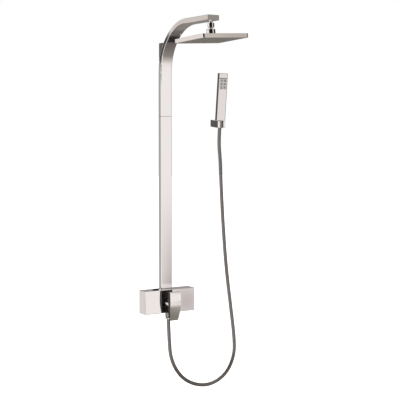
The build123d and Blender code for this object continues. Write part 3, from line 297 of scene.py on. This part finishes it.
looks = {
    "chrome": chrome("chrome"),
    "dark_metal": metal("dark_metal", (0.125, 0.122, 0.118), (0.165, 0.16, 0.155), 0.22, 0.34, 300.0),
    "brass": metal("brass", (0.66, 0.47, 0.22), (0.76, 0.58, 0.30), 0.22, 0.36, 400.0, (1, 8, 1), 0.15),
    "steel": metal("steel", (0.50, 0.50, 0.51), (0.60, 0.60, 0.61), 0.25, 0.42, 260.0, (1, 12, 1), 0.2),
    "rubber": plastic("rubber", (0.018, 0.018, 0.019), (0.035, 0.035, 0.036), 0.6, 0.8, 900.0, 0.2),
    "nozzle_rubber": plastic("nozzle_rubber", (0.10, 0.10, 0.105), (0.16, 0.16, 0.165), 0.5, 0.7, 900.0,
                             0.2),
    "plastic": plastic("plastic", (0.72, 0.72, 0.70), (0.80, 0.80, 0.78), 0.4, 0.55, 700.0, 0.1),
    "ceramic": plastic("ceramic", (0.82, 0.80, 0.75), (0.88, 0.86, 0.82), 0.12, 0.2, 900.0, 0.03),
    "spray_plate": metal("spray_plate", (0.60, 0.585, 0.575), (0.68, 0.665, 0.655), 0.18, 0.30, 500.0),
    "hose_metal": dark_edge(metal("hose_metal", (0.26, 0.25, 0.242), (0.34, 0.33, 0.32), 0.30, 0.40,
                                  500.0), (0.12, 0.115, 0.11)),
    "face_plate": metal("face_plate", (0.73, 0.67, 0.605), (0.84, 0.775, 0.70), 0.16, 0.30, 220.0,
                        (1, 14, 1), 0.1),
    "satin": dark_edge(metal("satin", (0.34, 0.33, 0.32), (0.42, 0.41, 0.40), 0.2, 0.32, 400.0),
                       (0.15, 0.145, 0.14)),
    # Hand shower: painted shade darkens its side faces, and a painted shadow line blackens its groove
    "handset": painted_shadow_band(painted_shade_on_dull_sides(chrome("handset"), (0.15, 0.145, 0.14), 0.1, False),
                         (0.03, 0.03, 0.03), groove_bands),
    # Riser: a painted shadow line round its foot
    "riser": painted_shadow_band(chrome("riser"), (0.05, 0.05, 0.05), foot_bands),
    # Lever: painted shade darkens its side faces and those towards the wall
    "lever": painted_shade_on_dull_sides(chrome("lever"), (0.10, 0.097, 0.094), 0.5, True),
}
# Pieces that look different from the rest of their slot
own_looks = {"head_face_plate": "face_plate", "lever_handle": "lever", "handset_body": "handset",
             "hose_cone_nut": "satin", "hose_nut": "satin", "lower_riser": "riser",
             "upper_ferrule": "hose_metal"}
for subpart in frame["record"]["subparts"]:
    node = subpart["node"]
    look = own_looks.get(node, subpart["material_slot"])
    nodes[node].data.materials.clear()
    nodes[node].data.materials.append(looks[look])


# Hose: a spiral-wound tube on the spline of the CAD tube's route

OUTLET_DEPTH = 34 * MM
HOSE_START = Vector((0, -OUTLET_DEPTH, -74 * MM))
HOSE_END = SEAT - SEAT_UP * 33.1 * MM
# Straight run below the cone nut
LEAD_IN = 60 * MM
# Points of the loop, in millimetres from the start
LOOP_STEPS = [(3, 0, -76), (11, 0, -169), (59, -1, -246), (130, -2, -286), (208, -3, -292),
              (281, -4, -253), (317, -4, -183), (318, -4, -113)]
# Points of the leg: millimetres to the right of the end and back from it, and the share of the climb
LEG_STEPS = [(59, 3, 0.15), (35, 4, 0.35), (19.5, 5, 0.57), (11, 6, 0.75), (8, 7, 0.86)]
ROUTE_RESOLUTION = 40
HOSE_RADIUS = 7 * MM
HOSE_GROOVE = 0.4 * MM
HOSE_PITCH = 4.4 * MM
# Half the width of the groove, as a share of the pitch
GROOVE_HALF = 0.14
HOSE_SIDES = 20
RINGS_PER_TURN = 6


def route_points():
    """Control points of the hose's route."""
    points = [HOSE_START]
    points += [HOSE_START + Vector(step) * MM for step in LOOP_STEPS]
    climb_from = points[-1].z
    for right, back, climb in LEG_STEPS:
        height = climb_from + climb * (HOSE_END.z - climb_from)
        points.append(Vector((HOSE_END.x + right * MM, HOSE_END.y + back * MM, height)))
    return points + [HOSE_END - SEAT_UP * LEAD_IN, HOSE_END]


def spline_points(points):
    """Points along the smooth spline that has these control points."""
    curve = bpy.data.curves.new("hose_route", "CURVE")
    curve.dimensions = "3D"
    spline = curve.splines.new("NURBS")
    spline.points.add(len(points) - 1)
    for control, point in zip(spline.points, points):
        control.co = (*point, 1)
    spline.order_u = 3
    spline.use_endpoint_u = True
    spline.resolution_u = ROUTE_RESOLUTION
    route = bpy.data.objects.new("hose_route", curve)
    scene.collection.objects.link(route)
    line = bpy.data.meshes.new_from_object(route)
    found = [vertex.co.copy() for vertex in line.vertices]
    bpy.data.objects.remove(route)
    bpy.data.curves.remove(curve)
    bpy.data.meshes.remove(line)
    return found


def along(line, step):
    """Points at an even step along a line of points, and the line's length."""
    lengths = [0.0]
    for first, second in zip(line, line[1:]):
        lengths.append(lengths[-1] + (second - first).length)
    count = round(lengths[-1] / step)
    places = []
    segment = 0
    for number in range(count + 1):
        target = lengths[-1] * number / count
        while segment < len(line) - 2 and lengths[segment + 1] < target:
            segment += 1
        share = (target - lengths[segment]) / (lengths[segment + 1] - lengths[segment])
        places.append(line[segment].lerp(line[segment + 1], share))
    return places, lengths[-1]


def groove_share(turns):
    """Depth of the groove at a number of turns along the winding: broad crests and narrow grooves."""
    share = turns - floor(turns)
    return max(0.0, 1.0 - abs(share - 0.5) / GROOVE_HALF)


def make_hose(line):
    """Tube whose surface is one helical winding, and its length."""
    places, length = along(line, HOSE_PITCH / RINGS_PER_TURN)
    bm = bmesh.new()
    rings = []
    side = Vector((0, 1, 0))
    for number, place in enumerate(places):
        ahead = places[min(number + 1, len(places) - 1)] - places[max(number - 1, 0)]
        ahead.normalize()
        side = (side - ahead * side.dot(ahead)).normalized()
        other = ahead.cross(side)
        ring = []
        for corner in range(HOSE_SIDES):
            turn = corner / HOSE_SIDES
            radius = HOSE_RADIUS - HOSE_GROOVE * groove_share(number / RINGS_PER_TURN - turn)
            spoke = side * cos(2 * pi * turn) + other * sin(2 * pi * turn)
            ring.append(bm.verts.new(place + spoke * radius))
        rings.append(ring)
    join_rings(bm, rings)
    bm.faces.new(list(reversed(rings[0])))
    bm.faces.new(rings[-1])
    obj = mesh_object("hose_winding", bm)
    obj.data.shade_smooth()
    return obj, length


hose_line = spline_points(route_points())
hose, hose_length = make_hose(hose_line)
hose.data.materials.append(looks["hose_metal"])
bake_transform(hose)
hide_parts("hose")


# Nozzles: soft tips with a small bore each, on the rain head's plate and the hand shower's

HEAD_TILT = Matrix.Rotation(radians(-2), 3, "X") @ Matrix.Rotation(radians(-3), 3, "Y")
BALL = Vector((0, -345 * MM, 1046 * MM))
HEAD_FLOOR = 35.4 * MM
HEAD_PITCH = 20 * MM
HEAD_ROWS = 9
HEAD_TIP_RADIUS = 2 * MM
HEAD_TIP_HEIGHT = 2 * MM
SPRAY_MIDDLE = 149.25 * MM
SPRAY_FRONT = 7 * MM
SPRAY_GROUP_PITCH = (16 * MM, 14 * MM)
SPRAY_GROUPS = (2, 3)
SPRAY_PITCH = 4.6 * MM
SPRAY_TIP_RADIUS = 1.9 * MM
SPRAY_TIP_HEIGHT = 0.8 * MM
# Outline of a tip from its foot to the floor of its bore: shares of its radius and of its height
TIP_OUTLINE = [(1.0, 0.0), (0.98, 0.3), (0.88, 0.72), (0.74, 0.92), (0.55, 1.0), (0.36, 0.97), (0.3, 0.9),
               (0.26, 0.3)]
TIP_SIDES = 16
# Edges sharper than this stay sharp in the shading
SHARP_ANGLE = radians(35)


def evenly(count, pitch):
    """Places on a line about its middle."""
    return [(number - (count - 1) / 2) * pitch for number in range(count)]


def make_tips(name, centre, right, ahead, out, places, radius, height):
    """Round tips that stand out from a plane at the places on it."""
    bm = bmesh.new()
    for across, along_plane in places:
        foot = centre + right * across + ahead * along_plane
        rings = []
        for wide, high in TIP_OUTLINE:
            ring = []
            for corner in range(TIP_SIDES):
                turn = 2 * pi * corner / TIP_SIDES
                spoke = (right * cos(turn) + ahead * sin(turn)) * radius * wide
                ring.append(bm.verts.new(foot + spoke + out * height * high))
            rings.append(ring)
        join_rings(bm, rings)
        bm.faces.new(rings[-1])
        bm.faces.new(list(reversed(rings[0])))
    bmesh.ops.recalc_face_normals(bm, faces=bm.faces)
    obj = mesh_object(name, bm)
    obj.data.shade_smooth()
    obj.data.set_sharp_from_angle(angle=SHARP_ANGLE)
    obj.data.materials.append(looks["nozzle_rubber"])
    return obj


head_right, head_ahead, head_up = HEAD_TILT.col
head_places = [(x, y) for x in evenly(HEAD_ROWS, HEAD_PITCH) for y in evenly(HEAD_ROWS, HEAD_PITCH)]
head_tips = make_tips("head_nozzle_tips", BALL - head_up * HEAD_FLOOR, head_right, head_ahead, -head_up,
                      head_places, HEAD_TIP_RADIUS, HEAD_TIP_HEIGHT)
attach(head_tips, "rain_head")
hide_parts("head_nozzles")

spray_places = [(group_x + x, group_z + z)
                for group_x in evenly(SPRAY_GROUPS[0], SPRAY_GROUP_PITCH[0])
                for group_z in evenly(SPRAY_GROUPS[1], SPRAY_GROUP_PITCH[1])
                for x in evenly(2, SPRAY_PITCH) for z in evenly(2, SPRAY_PITCH)]
spray_centre = SEAT + SEAT_UP * SPRAY_MIDDLE + SEAT_FRONT * SPRAY_FRONT
spray_tips = make_tips("spray_nozzle_tips", spray_centre, Vector((1, 0, 0)), SEAT_UP, SEAT_FRONT,
                       spray_places, SPRAY_TIP_RADIUS, SPRAY_TIP_HEIGHT)
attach(spray_tips, "handset")
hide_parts("spray_nozzles")


# Studio: a pale floor, soft cards, and a world whose light and dark panels the chrome mirrors

# Floor, below the hanging hose
FLOOR_Z = -0.9
FLOOR_SIZE = 60.0
FLOOR_TONE = 0.9
FLOOR_ROUGHNESS = 0.9

# Cards near the object that only its chrome mirrors: centre and size across and up in metres, shares of the
# size that fade out at the left, right, lower and upper edge, and colour
CARDS = {
    "front_card": ((0.62, -0.93, -0.17), (0.30, 0.34), (0.5, 0.5, 0.5, 0.5), (0.60, 0.545, 0.53)),
    "low_card": ((0.27, -0.46, -0.33), (0.22, 0.20), (0.4, 0.4, 0.4, 0.4), (0.24, 0.22, 0.195)),
    "riser_card": ((0.14, -0.244, 0.27), (0.20, 0.50), (0.95, 0.05, 0.03, 1.24), (0.30, 0.255, 0.235)),
}

# Panels of the studio: azimuth from the front (-Y) towards +X and elevation, each as (low, high, softness)
# in degrees, and the colour that they reflect; a later panel lies over an earlier one
PANELS = {
    "behind_camera": ((-85, 18, 6), (2.8, 34, 0.4), (0.012, 0.011, 0.010)),
    "right_side": ((42, 144, 5), (-26, 26, 6), (0.06, 0.055, 0.053)),
    "left_side": ((-145.5, -85, 1), (-16, -8.8, 0.4), (0.06, 0.055, 0.052)),
    "left_below": ((-154, -144, 1), (-45, -14, 1.5), (0.04, 0.037, 0.035)),
    "far_left": ((-185, -152.2, 0.5), (-22, 2.5, 2), (0.12, 0.115, 0.11)),
    "far_right": ((153.5, 185, 0.5), (-22, 2.5, 2), (0.12, 0.115, 0.11)),
    "under_left": ((-116, -55, 6), (-45, -13, 3), (1.0, 1.0, 1.0)),
    "under_right": ((70, 100, 6), (-75, -50, 4), (0.03, 0.025, 0.025)),
    "front_handset": ((33.2, 37.5, 0.4), (-11.5, -6, 0.6), (0.86, 0.80, 0.77)),
    "front_arm": ((32.5, 33.8, 0.3), (5.0, 7.4, 0.3), (0.31, 0.285, 0.255)),
    "front_head": ((32.2, 36.5, 0.3), (7.6, 13.0, 0.3), (0.605, 0.55, 0.50)),
    "front_head_right": ((34.0, 36.5, 0.6), (7.6, 13.0, 0.3), (0.525, 0.475, 0.427)),
    "left_end": ((-151.5, -150.3, 0.1), (-12, -6, 0.5), (0.756, 0.709, 0.678)),
    "left_riser": ((-150.2, -149.3, 0.15), (-11, 3.5, 0.5), (0.42, 0.40, 0.385)),
    "left_bend": ((-150.2, -149.05, 0.2), (3.5, 5.4, 0.5), (0.085, 0.072, 0.068)),
    "left_arm": ((-149.05, -146.8, 0.2), (4.3, 7.6, 0.4), (0.68, 0.62, 0.58)),
    "left_head": ((-149.2, -146.9, 0.1), (1.3, 3.2, 0.2), (0.855, 0.79, 0.75)),
    "left_holder": ((-147.2, -142, 0.05), (-2.5, 1.2, 0.15), (0.105, 0.097, 0.09)),
    "left_handset": ((-146.85, -142, 0.03), (1.2, 4.2, 0.2), (0.055, 0.052, 0.05)),
    "back_left": ((150.15, 153, 0.15), (4, 14, 0.5), (0.34, 0.33, 0.32)),
    "back_middle": ((149.3, 150.15, 0.15), (4, 14, 0.5), (0.02, 0.02, 0.02)),
    "back_right": ((146.5, 149.3, 0.15), (4, 14, 0.5), (0.33, 0.315, 0.31)),
    "back_low": ((132, 172, 3), (-52, 0.5, 0.8), (0.26, 0.235, 0.215)),
}

# Tone of the studio by elevation in degrees
TONES = [(-90, 0.09), (-60, 0.13), (-45, 0.20), (-33, 0.28), (-24, 0.60), (-17, 0.88), (-10, 0.95),
         (10, 0.97), (18, 0.7), (28, 0.22), (40, 0.34), (56, 0.6), (90, 0.72)]
# Shares of green and blue in the lightest tone, and how much of each the darkest has lost
GREEN_SHARE = 0.955
GREEN_LOSS = 0.09
BLUE_SHARE = 0.935
BLUE_LOSS = 0.15


def make_floor():
    """Plain pale floor that stays out of the chrome's reflections."""
    bm = bmesh.new()
    half = FLOOR_SIZE / 2
    corners = [(-half, -half), (half, -half), (half, half), (-half, half)]
    bm.faces.new([bm.verts.new((*corner, FLOOR_Z)) for corner in corners])
    obj = mesh_object("studio_floor", bm)
    material, _, shader = new_material("pale_floor")
    shader.inputs["Base Color"].default_value = (FLOOR_TONE, FLOOR_TONE, FLOOR_TONE, 1)
    shader.inputs["Roughness"].default_value = FLOOR_ROUGHNESS
    shader.inputs["Emission Color"].default_value = (1, 1, 1, 1)
    shader.inputs["Emission Strength"].default_value = 1.0
    obj.data.materials.append(material)
    obj.visible_glossy = False


def card_material(name, fades, colour):
    """Glow that fades out towards the card's edges."""
    material = bpy.data.materials.new(name)
    material.use_nodes = True
    tree = material.node_tree
    tree.nodes.clear()
    place = split_vector(tree, tree.nodes.new("ShaderNodeUVMap").outputs["UV"])
    left, right, low, high = fades
    inside = math_value(tree, "MULTIPLY", soft_window(tree, place["X"], (0.0, left), (1.0 - right, 1.0)),
                        soft_window(tree, place["Y"], (0.0, low), (1.0 - high, 1.0)))
    clear = tree.nodes.new("ShaderNodeBsdfTransparent")
    glow = tree.nodes.new("ShaderNodeEmission")
    glow.inputs["Color"].default_value = (*colour, 1)
    output = tree.nodes.new("ShaderNodeOutputMaterial")
    surface = mix_shaders(tree, inside, clear.outputs["BSDF"], glow.outputs["Emission"])
    tree.links.new(surface, output.inputs["Surface"])
    return material


def make_card(name, centre, size, fades, colour):
    """Upright card across the view, soft at its edges."""
    across = Vector((cos(radians(CAMERA_YAW)), sin(radians(CAMERA_YAW)), 0)) * size[0] / 2
    up = Vector((0, 0, size[1] / 2))
    bm = bmesh.new()
    corners = [Vector(centre) + across * x + up * y for x, y in ((-1, -1), (1, -1), (1, 1), (-1, 1))]
    face = bm.faces.new([bm.verts.new(corner) for corner in corners])
    layer = bm.loops.layers.uv.new("place")
    for loop, place in zip(face.loops, ((0, 0), (1, 0), (1, 1), (0, 1))):
        loop[layer].uv = place
    obj = mesh_object(name, bm)
    obj.data.materials.append(card_material(name, fades, colour))
    obj.visible_camera = False
    obj.visible_diffuse = False
    obj.visible_shadow = False


def studio_tones(tree, elevation):
    """Colour of the studio by elevation."""
    height = map_range(tree, elevation, -90.0, 90.0)
    tones = tree.nodes.new("ShaderNodeValToRGB")
    tree.links.new(height, tones.inputs["Fac"])
    stops = tones.color_ramp.elements
    while len(stops) < len(TONES):
        stops.new(0.5)
    for stop, (degrees_up, tone) in zip(stops, TONES):
        stop.position = (degrees_up + 90) / 180
        shade = 1 - tone
        green = tone * (GREEN_SHARE - GREEN_LOSS * shade)
        blue = tone * (BLUE_SHARE - BLUE_LOSS * shade)
        stop.color = (tone, green, blue, 1)
    return tones.outputs["Color"]


def panel_window(tree, source, low, high, soft):
    """1 between two edges in degrees and 0 outside, with a soft change about each."""
    return soft_window(tree, source, (low - soft, low + soft), (high - soft, high + soft))


def make_world():
    """White ground to the eye, with a studio of soft panels in the reflections."""
    world = bpy.data.worlds.new("studio")
    world.use_nodes = True
    scene.world = world
    tree = world.node_tree
    tree.nodes.clear()
    ray = split_vector(tree, tree.nodes.new("ShaderNodeTexCoord").outputs["Generated"])
    forward = math_value(tree, "MULTIPLY", ray["Y"], -1.0)
    azimuth = math_value(tree, "DEGREES", math_value(tree, "ARCTAN2", ray["X"], forward))
    elevation = math_value(tree, "DEGREES", math_value(tree, "ARCSINE", ray["Z"]))
    colour = studio_tones(tree, elevation)
    for across, upward, panel in PANELS.values():
        inside = math_value(tree, "MULTIPLY", panel_window(tree, azimuth, *across),
                            panel_window(tree, elevation, *upward))
        colour = mix_in(tree, inside, colour, (*panel, 1))
    studio = tree.nodes.new("ShaderNodeBackground")
    tree.links.new(colour, studio.inputs["Color"])
    ground = tree.nodes.new("ShaderNodeBackground")
    ground.inputs["Color"].default_value = (1, 1, 1, 1)
    rays = tree.nodes.new("ShaderNodeLightPath")
    output = tree.nodes.new("ShaderNodeOutputWorld")
    surface = mix_shaders(tree, rays.outputs["Is Camera Ray"], studio.outputs["Background"],
                          ground.outputs["Background"])
    tree.links.new(surface, output.inputs["Surface"])


def make_camera():
    """Camera at the photograph's viewpoint."""
    data = bpy.data.cameras.new("camera")
    data.sensor_width = SENSOR_MM
    data.lens = FOCAL_PIXELS * SENSOR_MM / PHOTO_PIXELS
    camera = bpy.data.objects.new("camera", data)
    camera.location = CAMERA_PLACE
    camera.rotation_euler = (radians(90 + CAMERA_PITCH), 0, radians(-CAMERA_YAW))
    scene.collection.objects.link(camera)
    scene.camera = camera


make_floor()
for card_name, card in CARDS.items():
    make_card(card_name, *card)
make_world()
make_camera()
